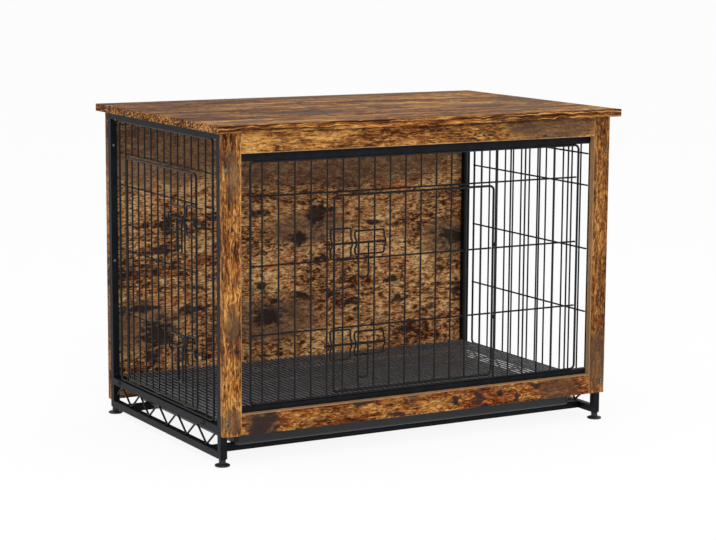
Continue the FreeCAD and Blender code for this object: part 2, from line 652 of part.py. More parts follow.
for side, name in (("front", "front_door"), ("left", "side_door")):
    latch = door_numbers(side)[0]
    nose = "(%s + field_wire / 2 + bolt_nose)" % LATCH_GAP[side]
    outward = OUTWARD[side]
    for word, level in zip(("upper", "lower"), BOLT_LEVELS[side]):
        bolt = new_body("%s_%s_bolt" % (name, word))
        rod = new_sketch(bolt, "rod_section", "YZ_Plane", ("0", "0", "-" + nose))
        draw_circle(rod, "bolt_rod")
        pad(bolt, rod, nose + " + bolt_tail", "rod")
        stand = "(bolt_rod / 2 + handle_wire / 2 - handle_bite)"
        path = new_sketch(bolt, "handle_path", "XZ_Plane",
                          ("handle_start", "0", "%d * %s" % (-outward, stand)))
        draw_handle(path)
        section = new_sketch(bolt, "handle_section", "XY_Plane",
                             ("handle_start", "%d * %s" % (outward, stand), "0"))
        draw_circle(section, "handle_wire")
        handle = bolt.newObject("PartDesign::AdditivePipe", bolt.Label + "_handle")
        handle.Profile = section
        handle.Spine = (path, [])
        across, depth, height = shifted(side, latch, level)
        out = "(rim_wire / 2 + bolt_clearance + bolt_rod / 2)"
        if side == "front":
            place(bolt, (across, depth + " - " + out, height), TURNED[side])
        else:
            place(bolt, (across + " - " + out, depth, height), TURNED[side])

# ---------------------------------------------------------------- side trusses
half_pitch = size("truss_pitch") / 2
bend = size("truss_bend")
centre_high = size("middle_tube_lift - truss_wire / 2") - bend
centre_low = size("leg_lift + tube_size + truss_wire / 2") + bend
rise = centre_high - centre_low
steep = math.atan2(rise, half_pitch) + math.asin(2 * bend / math.hypot(half_pitch, rise))
apex = centre_high + bend / math.cos(steep)
base = centre_low - bend / math.cos(steep)
end_gap = size("truss_wire") / 2 * math.sin(steep)
first_y = size(FRONT_LEG_BACK) + end_gap
last_y = size(REAR_LEG_FRONT) - end_gap
knots = []
at_y = size(FRONT_LEG_BACK + " + truss_start")
while at_y < last_y:
    knots.append((at_y, apex if len(knots) % 2 == 0 else base))
    at_y += half_pitch
slope = (apex - base) / half_pitch
knots.insert(0, (first_y, knots[0][1] - (knots[0][0] - first_y) * slope))
last_way = 1 if knots[-1][1] == base else -1
knots.append((last_y, knots[-1][1] + last_way * (last_y - knots[-1][0]) * slope))
for side, plane in (("left", LEFT + " + tube_size / 2"), ("right", RIGHT + " - tube_size / 2")):
    points = [Vector(size(plane), along, up) for along, up in knots]
    add_shape(side + "_truss", [bent_wire(points, bend, size("truss_wire"))])

# ---------------------------------------------------------------- floor grid
floor = new_body("floor_grid")
floor_half = "(" + RIGHT + " - tube_size + floor_seat)"
sketch = new_sketch(floor, "cross_section", "YZ_Plane",
                    ("floor_first_cross - floor_end_gap", "floor_cross_wire / 2", "-" + floor_half))
draw_circle(sketch, "floor_cross_wire")
cross = pad(floor, sketch, "2 * " + floor_half, "cross")
rows = math.floor((size(LEG_SPAN) - size("floor_first_cross")) / size("floor_cross_pitch")) + 1
repeat(floor, cross, "Y_Axis", str(rows), "floor_cross_pitch", "crosses")
inner = size(RIGHT) - size("tube_size + floor_cross_wire")
each_side = math.floor(inner / size("floor_wire_pitch"))
sketch = new_sketch(floor, "wire_section", "XZ_Plane",
                    ("-%d * floor_wire_pitch" % each_side,
                     "floor_cross_wire + field_wire / 2 - wire_bite", "0"))
draw_circle(sketch, "field_wire")
wire = pad(floor, sketch, LEG_SPAN + " - 2 * floor_end_gap", "wire")
wire.Reversed = True
repeat(floor, wire, "X_Axis", str(2 * each_side + 1), "floor_wire_pitch", "wires")
place(floor, ("0", FRONT_LEG_BACK + " + floor_end_gap", MIDDLE_TOP))

# ---------------------------------------------------------------- pull-out tray
TRAY_WIDTH = "(" + RIGHT + " - " + LEFT + " - 2 * (tube_size + tray_side_gap))"
TRAY_DEPTH = "(" + LEG_SPAN + " - tray_front_gap - tray_back_gap)"


def ring_edges(shape, level):
    """The names of the edges that lie at one height."""
    names = []
    for number, edge in enumerate(shape.Edges, start=1):
        box = edge.BoundBox
        if abs(box.ZMin - level) < 0.01 and abs(box.ZMax - level) < 0.01:
            names.append("Edge%d" % number)
    return names


def round_edges_at(body, feature, level, radius, name):
    doc.recompute()
    rounding = body.newObject("PartDesign::Fillet", body.Label + "_" + name)
    rounding.Base = (feature, ring_edges(feature.Shape, level))
    rounding.setExpression("Radius", expr(radius))
    body.Tip = rounding
    return rounding


tray = new_body("tray")
sketch = new_sketch(tray, "outline", "XY_Plane")
draw_rounded(sketch, TRAY_WIDTH, TRAY_DEPTH, "tray_corner", "tray_lip")
pad(tray, sketch, "tray_height")
sketch = new_sketch(tray, "lip_outline", "XY_Plane", ("0", "0", "tray_height - tray_wall"))
draw_rounded(sketch, TRAY_WIDTH, TRAY_DEPTH, "tray_corner + tray_lip", "0")
pad(tray, sketch, "tray_wall", "lip")
sketch = new_sketch(tray, "well_outline", "XY_Plane", ("0", "0", "tray_height"))
draw_rounded(sketch, TRAY_WIDTH, TRAY_DEPTH, "tray_corner - tray_wall", "tray_lip + tray_wall")
well = tray.newObject("PartDesign::Pocket", "tray_well")
well.Profile = sketch
well.setExpression("Length", expr("tray_height - tray_wall"))
inside = round_edges_at(tray, well, size("tray_wall"), "tray_bottom_round - tray_wall",
                        "well_rounding")
round_edges_at(tray, inside, 0, "tray_bottom_round", "outer_rounding")
place(tray, ("-" + TRAY_WIDTH + " / 2", FRONT_LEG_BACK + " + tray_front_gap",
             "leg_lift + tube_size + tray_seat_gap"))


# ---------------------------------------------------------------- turned pieces
def make_turned(label, profile, corner, rotation=None):
    """A body turned round its own Z from a half profile of (radius, height)."""
    body = new_body(label)
    sketch = new_sketch(body, "profile", "XZ_Plane")
    points = [Vector(size(radius), size(height)) for radius, height in profile]
    count = len(points)
    for number in range(count):
        sketch.addGeometry(Part.LineSegment(points[number], points[(number + 1) % count]), False)
    for number in range(count):
        after = (number + 1) % count
        sketch.addConstraint(Sketcher.Constraint("Coincident", number, 2, after, 1))
        if number:
            fix(sketch, profile[number][0], "DistanceX", -1, 1, number, 1)
        else:
            sketch.addConstraint(Sketcher.Constraint("PointOnObject", 0, 1, -2))
        fix(sketch, profile[number][1], "DistanceY", -1, 1, number, 1)
    turned = body.newObject("PartDesign::Revolution", label + "_turned")
    turned.Profile = sketch
    turned.ReferenceAxis = (sketch, ["V_Axis"])
    turned.Angle = 360
    place(body, corner, rotation)
    return body, turned


def copies(body, feature, steps):
    """Repeat a feature along several of the body's axes at once."""
    both = body.newObject("PartDesign::MultiTransform", body.Label + "_copies")
    both.Originals = [feature]
    patterns = []
    for axis, count, distance in steps:
        pattern = body.newObject("PartDesign::LinearPattern", "%s_%s" % (body.Label, axis))
        pattern.Direction = (origin_plane(body, axis), [""])
        pattern.setExpression("Length", expr("(%d) * (%s)" % (count - 1, distance)))
        pattern.Occurrences = count
        patterns.append(pattern)
    both.Transformations = patterns
    body.Tip = both


def bolt_profile(head, shank, length, way):
    """Half profile of a bolt whose head ends at 0 and whose shank runs along way."""
    lift = "%d * " % way
    return [
        ("0", "-" + lift + "bolt_head_height"),
        (head + " / 2 - bolt_head_edge", "-" + lift + "bolt_head_height"),
        (head + " / 2", "-" + lift + "(bolt_head_height - bolt_head_edge)"),
        (head + " / 2", "0"),
        (shank + " / 2", "0"),
        (shank + " / 2", lift + "(" + length + ")"),
        ("0", lift + "(" + length + ")"),
    ]


LEG_STEP_X = RIGHT + " - " + LEFT + " - tube_size"
LEG_STEP_Y = LEG_SPAN + " + tube_size"
THROUGH = "board_thickness + tube_size - bolt_end_gap"
bolts, turned = make_turned("facade_bolts", bolt_profile("bolt_head", "bolt_shank", THROUGH, 1),
                            (LEFT + " + tube_size / 2", FACADE_FRONT, BOLT_LOW), ALONG["y"])
copies(bolts, turned, [("X_Axis", 2, BOLT_HIGH + " - (" + BOLT_LOW + ")"),
                       ("Y_Axis", 2, LEG_STEP_X)])
bolts, turned = make_turned("back_bolts", bolt_profile("bolt_head", "bolt_shank", THROUGH, -1),
                            (LEFT + " + tube_size / 2", BACK, BOLT_LOW), ALONG["y"])
copies(bolts, turned, [("X_Axis", 3, "(" + BOLT_HIGH + " - (" + BOLT_LOW + ")) / 2"),
                       ("Y_Axis", 2, LEG_STEP_X)])
ACROSS = "tube_size + bolt_end_gap"
FLOOR_BOLT_Y = FRONT_LEG_BACK + " + floor_bolt_front"
FLOOR_BOLT_STEP = LEG_SPAN + " - floor_bolt_front - floor_bolt_rear"
for side, outer, way in (("left", LEFT, 1), ("right", RIGHT, -1)):
    bolts, turned = make_turned(side + "_floor_bolts",
                                bolt_profile("bolt_head", "bolt_shank", ACROSS, way),
                                (outer, FLOOR_BOLT_Y, "middle_tube_lift + tube_size / 2"),
                                ALONG["x"])
    copies(bolts, turned, [("X_Axis", 2, FLOOR_BOLT_STEP)])
screws, turned = make_turned("top_screws",
                             bolt_profile("screw_head", "screw_shank",
                                          "tube_size + screw_bite", 1),
                             (LEFT + " + tube_size / 2", FRONT_LEG_BACK + " + screw_inset",
                              UNDERSIDE + " - tube_size"))
copies(screws, turned, [("X_Axis", 2, LEG_STEP_X),
                        ("Y_Axis", 2, LEG_SPAN + " - 2 * screw_inset")])

plugs = new_body("leg_plugs")
sketch = new_sketch(plugs, "section", "XY_Plane",
                    ("tube_wall + plug_clearance", "tube_wall + plug_clearance", "0"))
PLUG = "(tube_size - 2 * tube_wall - 2 * plug_clearance)"
draw_rectangle(sketch, PLUG, PLUG)
sketch.addGeometry(Part.Circle(Vector(size(PLUG) / 2, size(PLUG) / 2), Vector(0, 0, 1), 4), False)
fix(sketch, "foot_shank / 2 + shank_clearance", "Radius", 4)
fix(sketch, PLUG + " / 2", "DistanceX", -1, 1, 4, 3)
fix(sketch, PLUG + " / 2", "DistanceY", -1, 1, 4, 3)
plug = pad(plugs, sketch, "plug_depth")
copies(plugs, plug, [("X_Axis", 2, LEG_STEP_X), ("Y_Axis", 2, LEG_STEP_Y)])
place(plugs, (LEFT, FACADE_BACK, "leg_lift"))

FOOT = [
    ("0", "0"), ("foot_disc / 2", "0"), ("foot_disc / 2", "foot_disc_height"),
    ("foot_collar / 2", "foot_disc_height"), ("foot_collar / 2", "leg_lift - foot_seat_gap"),
    ("foot_shank / 2", "leg_lift - foot_seat_gap"),
    ("foot_shank / 2", "leg_lift + foot_shank_length"), ("0", "leg_lift + foot_shank_length"),
]
for side, centre_x in (("left", LEFT + " + tube_size / 2"), ("right", RIGHT + " - tube_size / 2")):
    for end, centre_y in (("front", FACADE_BACK + " + tube_size / 2"),
                          ("rear", REAR_LEG_BACK + " - tube_size / 2")):
        make_turned("%s_%s_foot" % (side, end), FOOT, (centre_x, centre_y, "0"))

# ---------------------------------------------------------------- checks and export
doc.recompute()
for item in doc.Objects:
    if "Invalid" in item.State or "Error" in item.State:
        raise RuntimeError("%s is %s" % (item.Label, item.State))
for item in subparts:
    if item.Shape.isNull() or not item.Shape.isValid() or not item.Shape.Solids:
        raise RuntimeError("%s has no good solid" % item.Label)
os.makedirs("parts", exist_ok=True)
for item in subparts:
    item.Shape.exportStep("parts/%s.step" % item.Label)
print("%d sub-parts exported" % len(subparts))
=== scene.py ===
import math

import bmesh
import bpy
from mathutils import Euler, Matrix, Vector


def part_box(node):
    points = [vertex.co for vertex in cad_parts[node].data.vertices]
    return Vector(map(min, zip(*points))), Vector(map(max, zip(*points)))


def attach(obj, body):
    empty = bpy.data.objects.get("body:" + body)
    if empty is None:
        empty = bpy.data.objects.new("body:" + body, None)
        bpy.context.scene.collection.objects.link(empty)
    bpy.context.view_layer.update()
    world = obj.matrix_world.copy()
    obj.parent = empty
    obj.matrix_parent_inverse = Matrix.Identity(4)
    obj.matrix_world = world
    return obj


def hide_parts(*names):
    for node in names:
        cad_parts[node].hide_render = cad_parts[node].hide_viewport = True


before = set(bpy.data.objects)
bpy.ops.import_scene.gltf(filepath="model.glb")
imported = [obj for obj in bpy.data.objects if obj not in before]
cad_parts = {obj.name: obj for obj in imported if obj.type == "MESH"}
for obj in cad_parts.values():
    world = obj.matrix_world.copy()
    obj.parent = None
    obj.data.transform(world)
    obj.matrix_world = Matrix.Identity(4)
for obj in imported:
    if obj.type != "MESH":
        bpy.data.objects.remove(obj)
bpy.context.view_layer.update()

MM = 0.001
scene = bpy.context.scene


# ------------------------------------------------------------------ camera
IMAGE_WIDTH_PX = 716
FOCAL_PX = 2116.6
SENSOR_WIDTH = 36
FARTHEST = 60
YAW, PITCH, ROLL = (math.radians(angle) for angle in (29.475, 8.984, 0.351))
EYE = (-2.2975, -4.0750, 1.0732)

camera = bpy.data.objects.new("camera", bpy.data.cameras.new("camera"))
scene.collection.objects.link(camera)
camera.data.sensor_fit = "HORIZONTAL"
camera.data.sensor_width = SENSOR_WIDTH
camera.data.lens = FOCAL_PX / IMAGE_WIDTH_PX * SENSOR_WIDTH
camera.data.clip_end = FARTHEST
aim = Euler((math.pi / 2 - PITCH, 0, -YAW)).to_matrix() @ Euler((0, 0, ROLL)).to_matrix()
camera.rotation_euler = aim.to_euler()
camera.location = EYE
scene.camera = camera


# ------------------------------------------------------------------ nodes
def linear(code):
    """An sRGB hex colour as linear RGBA."""
    parts = [int(code[i:i + 2], 16) / 255 for i in (1, 3, 5)]
    return [p / 12.92 if p <= 0.04045 else ((p + 0.055) / 1.055) ** 2.4 for p in parts] + [1]


def add(tree, kind, settings=None, inputs=None, stops=None):
    """Add a node: its properties, its sockets (values or links) and its ramp."""
    made = tree.nodes.new(kind)
    for name, value in (settings or {}).items():
        setattr(made, name, value)
    for name, value in (inputs or {}).items():
        if isinstance(value, bpy.types.NodeSocket):
            tree.links.new(value, made.inputs[name])
        else:
            made.inputs[name].default_value = value
    if stops:
        ramp = made.color_ramp.elements
        while len(ramp) < len(stops):
            ramp.new(0.5)
        for element, (position, colour) in zip(ramp, stops):
            element.position = position
            element.color = linear(colour)
    return made


def new_material(name):
    material = bpy.data.materials.new(name)
    material.use_nodes = True
    material.node_tree.nodes.clear()
    return material, material.node_tree


# ------------------------------------------------------------------ wood print
# where the printed foil is charred, smoky or knotted, in mm along and across the grain:
# (along, across, half length, half width)
CHARRED = {
    "back_board": [
        (-78, 187, 44, 27), (-60, 224, 20, 7), (54, 425, 24, 34), (90, 432, 36, 6),
        (430, 348, 52, 24), (-92, 262, 22, 11), (12, 232, 24, 11), (95, 230, 28, 9),
        (150, 202, 26, 10), (282, 204, 26, 12), (-352, 172, 46, 40), (-268, 222, 42, 14),
        (-395, 232, 50, 9), (-345, 362, 44, 12), (-330, 418, 13, 30), (210, 396, 28, 8),
        (5, 366, 24, 22), (-100, 432, 34, 9), (262, 252, 22, 8), (-425, 318, 26, 6),
        (-262, 272, 22, 7), (-222, 430, 18, 6), (448, 214, 14, 30), (70, 318, 28, 7),
        (-372, 120, 30, 20), (300, 128, 26, 8), (-282, 150, 24, 12)],
    "front_bottom_rail": [
        (-384, 84, 36, 34), (-150, 105, 28, 8), (80, 82, 13, 12), (143, 86, 12, 28),
        (196, 88, 12, 11), (-24, 106, 18, 6), (236, 76, 7, 14), (-60, 70, 30, 4),
        (290, 96, 18, 5)],
    "front_top_rail": [
        (98, 654, 8, 4), (106, 663, 7, 3), (114, 650, 7, 3), (121, 659, 5, 5),
        (130, 653, 7, 3), (137, 663, 6, 3), (143, 656, 6, 4), (151, 662, 6, 3),
        (159, 655, 7, 3), (168, 662, 6, 3), (125, 645, 9, 2), (154, 646, 12, 3),
        (-230, 682, 120, 3), (200, 680, 90, 3)],
    "front_left_post": [
        (632, -456, 18, 9), (557, -458, 14, 9), (390, -442, 20, 7), (241, -448, 13, 10),
        (135, -443, 5, 8)],
    "front_right_post": [(636, 446, 10, 4), (300, 462, 30, 4)],
    "table_top": [
        (-58, 152, 26, 24), (82, 152, 15, 9), (204, 135, 14, 12), (-285, -250, 26, 16),
        (-205, 82, 9, 15), (300, -250, 60, 8)],
}
SMOKY = {
    "back_board": [
        (140, 556, 420, 74), (-330, 590, 210, 90), (-100, 530, 60, 40), (30, 392, 120, 44),
        (-60, 180, 150, 60), (-400, 190, 110, 70), (430, 345, 90, 50)],
    "front_bottom_rail": [(348, 86, 62, 40), (-384, 86, 44, 44)],
    "front_top_rail": [(330, 664, 150, 30)],
    "front_left_post": [(600, -452, 60, 18), (292, -450, 44, 18), (95, -452, 30, 24)],
    "front_right_post": [(140, 452, 70, 30)],
    "table_top": [
        (-150, -108, 130, 30), (265, -80, 100, 40), (-395, -250, 50, 34), (60, 290, 480, 42),
        (20, 0, 260, 16), (440, 10, 70, 90), (30, -170, 60, 22), (330, -190, 130, 40)],
}
KNOTS = {
    "back_board": [
        (404, 432, 12, 5), (402, 272, 14, 7), (404, 242, 5, 3), (372, 174, 12, 9),
        (-362, 314, 10, 11), (-92, 258, 7, 5), (-470, 300, 8, 6)],
    "front_bottom_rail": [(80, 80, 7, 6), (197, 86, 6, 6)],
    "front_top_rail": [(-353, 648, 8, 8), (-103, 659, 5, 3), (302, 647, 4, 3), (52, 672, 4, 2)],
    "front_left_post": [(490, -452, 5, 4), (241, -447, 5, 5), (170, -460, 4, 3)],
    "front_right_post": [(520, 449, 4, 3), (642, 441, 5, 3)],
    "table_top": [(84, 152, 8, 5), (204, 137, 7, 5), (-330, -40, 6, 4)],
}

# marks of the print by layer: (length, width) in mm and detail
PRINT_LAYERS = {
    "zone": (190, 60, 2), "mottle": (20, 9, 4), "grain": (70, 3.4, 4), "fleck": (9, 3, 3),
    "smudge": (70, 24, 6), "rust": (120, 34, 4), "crackle": (5, 4, 2),
}
TONE_LAYERS = ("zone", "mottle", "grain", "fleck")
# the print wanders by about 4 mm over 30 mm: full reach along, across and through, in mm
SWAY_LENGTH = 30
SWAY_REACH = (20, 12, 10)

# tones of the wood from dark to pale: golden, umber, an umber darkened as painted shade for the post
# on the right, and the back board's, made paler as painted light to make up for the shade inside the
# crate
GOLDEN = [(0.2, "#40240f"), (0.36, "#6b3f1c"), (0.5, "#8f5d2b"), (0.64, "#ae793a"), (0.8, "#cc9a58")]
UMBER = [(0.2, "#2c170c"), (0.36, "#5a3318"), (0.5, "#7f4d24"), (0.64, "#a16b31"), (0.8, "#ca9550")]
# painted shade: the umber darkened, to tone down how brightly the post on the right is lit
PAINTED_SHADE_UMBER = [(0.2, "#28150b"), (0.36, "#522e16"), (0.5, "#744621"), (0.64, "#94622d"), (0.8, "#bb894a")]
# painted light: paler tones for the back board, to make up for the shade it sits in inside the crate
PAINTED_LIGHT_PALE = [(0.2, "#3a2115"), (0.35, "#7d4f31"), (0.5, "#bb8451"), (0.65, "#e4ab6d"), (0.8, "#fcd89c")]
RUST_TINT = "#dd8a62"
SMOKE_TINT = "#b4aaa6"
CHAR = "#2d2423"
CRACKLE = "#3a2213"
KNOT_HEART = "#1f1510"
FOLD = "#b9946a"
# how much of the heart's colour a knot has, from its middle outward: grey levels
KNOT_RINGS = [
    (0.22, "#e8e8e8"), (0.36, "#9a9a9a"), (0.42, "#303030"), (0.5, "#a0a0a0"), (0.62, "#000000")]

# each board: grain axis and the axis across it, place on the print, tones, how rusty and
# how charred it is, strength of the tone layers, stretch of the print along and across
# the grain (for a board seen so flat that its marks would merge), colour of the smoke,
# edges where the foil's fold shows
BOARDS = {
    "table_top": dict(
        along="X", across="Y", seed=3.1, ramp=UMBER, rust=0.3, burn=0.5,
        weights=(0.9, 0.9, 2.5, 0.9), spread=(3.2, 2), haze="#64503f", folds=()),
    "front_left_post": dict(
        along="Z", across="X", seed=5.7, ramp=UMBER, rust=0.35, burn=0.45,
        weights=(0.8, 0.9, 1.5, 1.1), spread=(1, 1), haze="#5e4a39", folds=("+X",)),
    "front_right_post": dict(
        along="Z", across="X", seed=9.2, ramp=PAINTED_SHADE_UMBER, rust=0.35, burn=0.35,
        weights=(0.7, 0.8, 1.2, 1), spread=(1, 1), haze="#5e4a39", folds=("-X",)),
    "front_top_rail": dict(
        along="X", across="Z", seed=1.3, ramp=GOLDEN, rust=0.3, burn=0.8,
        weights=(0.8, 1, 1.4, 1.1), spread=(1.2, 1), haze="#64503f", folds=("-Z",)),
    "front_bottom_rail": dict(
        along="X", across="Z", seed=7.9, ramp=UMBER, rust=0.9, burn=0.9,
        weights=(0.8, 1.1, 0.9, 1.2), spread=(1, 1), haze="#5c4434", folds=("+Z",)),
    "back_board": dict(
        along="X", across="Z", seed=12.4, ramp=PAINTED_LIGHT_PALE, rust=0.6, burn=0.92,
        weights=(0.9, 1.6, 0.5, 1.5), spread=(1, 1), haze="#80634f", folds=()),
}
# boards whose inner face carries painted light, taken back on the outer face by drawing that face a
# shade darker than the inner one: that face, its shade and how far the shade reaches into the
# board's edge, in mm
OUTER_FACE_UNDOES_PAINTED_LIGHT = {"back_board": ("+Y", "#b9a79c", 14)}


def edge_of(node, name):
    """A board's edge as (axis, level): -X is its lowest x, +X its highest."""
    low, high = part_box(node)
    return name[1], (high if name[0] == "+" else low)["XYZ".index(name[1])]


def nearest_mark(tree, sheet, marks):
    """How far a point is from the nearest mark, as a share of that mark's half size."""
    nearest = None
    for along, across, long, wide in marks:
        offset = add(tree, "ShaderNodeVectorMath", {"operation": "MULTIPLY_ADD"}, {
            0: sheet, 1: (1 / (long * MM), 1 / (wide * MM), 0),
            2: (-along / long, -across / wide, 0)})
        far = add(tree, "ShaderNodeVectorMath", {"operation": "LENGTH"}, {0: offset.outputs[0]})
        nearest = far.outputs["Value"] if nearest is None else add(
            tree, "ShaderNodeMath", {"operation": "MINIMUM"},
            {0: nearest, 1: far.outputs["Value"]}).outputs[0]
    return nearest


def gap_to(tree, split, axis, level):
    """How far a point is from a level on one axis."""
    offset = add(tree, "ShaderNodeMath", {"operation": "SUBTRACT"}, {
        0: split.outputs[axis], 1: level})
    return add(tree, "ShaderNodeMath", {"operation": "ABSOLUTE"}, {0: offset.outputs[0]}).outputs[0]


def print_layers(tree, sheet, seed, spread):
    """The print's patterns, each cloudy at its own length along and width across the grain."""
    layers = {}
    for number, (layer, (long, wide, detail)) in enumerate(PRINT_LAYERS.items()):
        place = add(tree, "ShaderNodeVectorMath", {"operation": "MULTIPLY_ADD"}, {
            0: sheet, 1: [1 / (mm * MM) for mm in (long * spread[0], wide * spread[1], wide)],
            2: (seed + number, seed * 1.7, seed * 2.3 + number)})
        layers[layer] = add(tree, "ShaderNodeTexNoise", inputs={
            "Vector": place.outputs[0], "Scale": 1, "Detail": detail,
            "Roughness": 0.6}).outputs["Fac"]
    return layers


def wood_tones(tree, layers, ramp, weights, rust):
    """The bare wood: the tone layers laid over each other, and redder where it is rusty."""
    tone = 0.5 - sum(weights) / 2
    for layer, weight in zip(TONE_LAYERS, weights):
        tone = add(tree, "ShaderNodeMath", {"operation": "MULTIPLY_ADD"}, {
            0: layers[layer], 1: weight, 2: tone}).outputs[0]
    wood = add(tree, "ShaderNodeValToRGB", inputs={"Fac": tone}, stops=ramp).outputs[0]
    rusty = add(tree, "ShaderNodeMapRange", {"interpolation_type": "SMOOTHSTEP"}, {
        "Value": layers["rust"], "From Min": 0.62 - 0.2 * rust, "From Max": 0.78 - 0.2 * rust,
        "To Max": 0.35 + 0.3 * rust})
    return add(tree, "ShaderNodeMix", {"data_type": "RGBA", "blend_type": "MULTIPLY"}, {
        "Factor": rusty.outputs[0], "A": wood, "B": linear(RUST_TINT)}).outputs["Result"]


def smoke_over(tree, under, layers, centre, marks, haze):
    """Smoke: soft grey-brown, seen through the grain."""
    soft = add(tree, "ShaderNodeMath", {"operation": "MULTIPLY_ADD"}, {
        0: layers["smudge"], 1: 1.3, 2: -0.65})
    reach = add(tree, "ShaderNodeMath", {"operation": "ADD"}, {
        0: nearest_mark(tree, centre, marks), 1: soft.outputs[0]})
    smoke = add(tree, "ShaderNodeMapRange", {"interpolation_type": "SMOOTHSTEP"}, {
        "Value": reach.outputs[0], "From Min": 1.15, "From Max": 0.55, "To Max": 0.72})
    dulled = add(tree, "ShaderNodeMix", {"data_type": "RGBA", "blend_type": "MULTIPLY"}, {
        "Factor": smoke.outputs[0], "A": under, "B": linear(SMOKE_TINT)}).outputs["Result"]
    thick = add(tree, "ShaderNodeMath", {"operation": "MULTIPLY"}, {0: smoke.outputs[0], 1: 0.75})
    return add(tree, "ShaderNodeMix", {"data_type": "RGBA"}, {
        "Factor": thick.outputs[0], "A": dulled, "B": linear(haze)}).outputs["Result"]


def char_over(tree, under, layers, centre, marks, burn):
    """Char: umber black smudges, ragged by the mottle, and a few stray ones."""
    ragged = add(tree, "ShaderNodeMath", {"operation": "MULTIPLY_ADD"}, {
        0: layers["mottle"], 1: 2.6, 2: -1.3})
    reach = add(tree, "ShaderNodeMath", {"operation": "ADD"}, {
        0: nearest_mark(tree, centre, marks), 1: ragged.outputs[0]})
    burnt = add(tree, "ShaderNodeMapRange", {"interpolation_type": "SMOOTHSTEP"}, {
        "Value": reach.outputs[0], "From Min": 1.25, "From Max": 0.55, "To Max": burn})
    stray = add(tree, "ShaderNodeMath", {"operation": "MULTIPLY"}, {
        0: layers["smudge"], 1: layers["mottle"]})
    strays = add(tree, "ShaderNodeMapRange", {"interpolation_type": "SMOOTHSTEP"}, {
        "Value": stray.outputs[0], "From Min": 0.31, "From Max": 0.4, "To Max": 0.8 * burn})
    char = add(tree, "ShaderNodeMath", {"operation": "MAXIMUM"}, {
        0: burnt.outputs[0], 1: strays.outputs[0]})
    return add(tree, "ShaderNodeMix", {"data_type": "RGBA"}, {
        "Factor": char.outputs[0], "A": under, "B": linear(CHAR)}).outputs["Result"]


def knots_over(tree, under, layers, centre, marks):
    """Dark flecks of the crackle, and the knots' hearts, each in a dark ring."""
    specks = add(tree, "ShaderNodeMapRange", inputs={
        "Value": layers["crackle"], "From Min": 0.6, "From Max": 0.68, "To Max": 0.55})
    specked = add(tree, "ShaderNodeMix", {"data_type": "RGBA"}, {
        "Factor": specks.outputs[0], "A": under, "B": linear(CRACKLE)}).outputs["Result"]
    outward = add(tree, "ShaderNodeMath", {"operation": "MULTIPLY"}, {
        0: nearest_mark(tree, centre, marks), 1: 0.4})
    knot = add(tree, "ShaderNodeValToRGB", inputs={"Fac": outward.outputs[0]}, stops=KNOT_RINGS)
    return add(tree, "ShaderNodeMix", {"data_type": "RGBA"}, {
        "Factor": knot.outputs[0], "A": specked, "B": linear(KNOT_HEART)}).outputs["Result"]


def rustic_board(node, along, across, seed, ramp, rust, burn, weights, spread, haze, folds):
    """Particle board under a printed rustic oak foil, matt: golden brown with fine grain, mottled
    with umber, rusty in places, with charred smudges, knots, smoky patches and a paler line where
    the foil folds over an edge. The back board's tones carry painted light, and those of the post on
    the right painted shade."""
    material, tree = new_material("printed_oak_foil_" + node)
    here = add(tree, "ShaderNodeTexCoord").outputs["Object"]
    split = add(tree, "ShaderNodeSeparateXYZ", inputs={"Vector": here})
    through = ({"X", "Y", "Z"} - {along, across}).pop()
    flat = add(tree, "ShaderNodeCombineXYZ", inputs={
        "X": split.outputs[along], "Y": split.outputs[across],
        "Z": split.outputs[through]}).outputs[0]
    sway = add(tree, "ShaderNodeTexNoise", inputs={
        "Vector": flat, "Scale": 1 / (SWAY_LENGTH * MM), "Detail": 5})
    sheet = add(tree, "ShaderNodeVectorMath", {"operation": "MULTIPLY_ADD"}, {
        0: sway.outputs["Color"], 1: [mm * MM for mm in SWAY_REACH], 2: flat}).outputs[0]
    centre = add(tree, "ShaderNodeVectorMath", {"operation": "ADD"}, {
        0: sheet, 1: [-mm / 2 * MM for mm in SWAY_REACH]}).outputs[0]

    layers = print_layers(tree, sheet, seed, spread)
    colour = wood_tones(tree, layers, ramp, weights, rust)
    colour = smoke_over(tree, colour, layers, centre, SMOKY[node], haze)
    colour = char_over(tree, colour, layers, centre, CHARRED[node], burn)
    colour = knots_over(tree, colour, layers, centre, KNOTS[node])

    # the fold of the foil: about 1.5 mm along the named edges
    for name in folds:
        fold = add(tree, "ShaderNodeMapRange", inputs={
            "Value": gap_to(tree, split, *edge_of(node, name)),
            "From Min": 1.9 * MM, "From Max": 1.0 * MM, "To Max": 0.6})
        colour = add(tree, "ShaderNodeMix", {"data_type": "RGBA"}, {
            "Factor": fold.outputs[0], "A": colour, "B": linear(FOLD)}).outputs["Result"]
    # painted light: only the inner face keeps the paler tones; the outer face and the edges are
    # drawn a shade darker
    if node in OUTER_FACE_UNDOES_PAINTED_LIGHT:
        face, shade, reach = OUTER_FACE_UNDOES_PAINTED_LIGHT[node]
        outer = add(tree, "ShaderNodeMapRange", inputs={
            "Value": gap_to(tree, split, *edge_of(node, face)),
            "From Min": (reach + 0.5) * MM, "From Max": reach * MM})
        colour = add(tree, "ShaderNodeMix", {"data_type": "RGBA", "blend_type": "MULTIPLY"}, {
            "Factor": outer.outputs[0], "A": colour, "B": linear(shade)}).outputs["Result"]

    dent = add(tree, "ShaderNodeBump", inputs={
        "Height": layers["grain"], "Strength": 0.3, "Distance": 0.3 * MM})
    sheen = add(tree, "ShaderNodeMapRange", inputs={
        "Value": layers["fleck"], "To Min": 0.5, "To Max": 0.7})
    shader = add(tree, "ShaderNodeBsdfPrincipled", inputs={
        "Base Color": colour, "Roughness": sheen.outputs[0],
        "Normal": dent.outputs[0], "IOR": 1.5, "Specular IOR Level": 0.08})
    add(tree, "ShaderNodeOutputMaterial", inputs={"Surface": shader.outputs[0]})
    return material


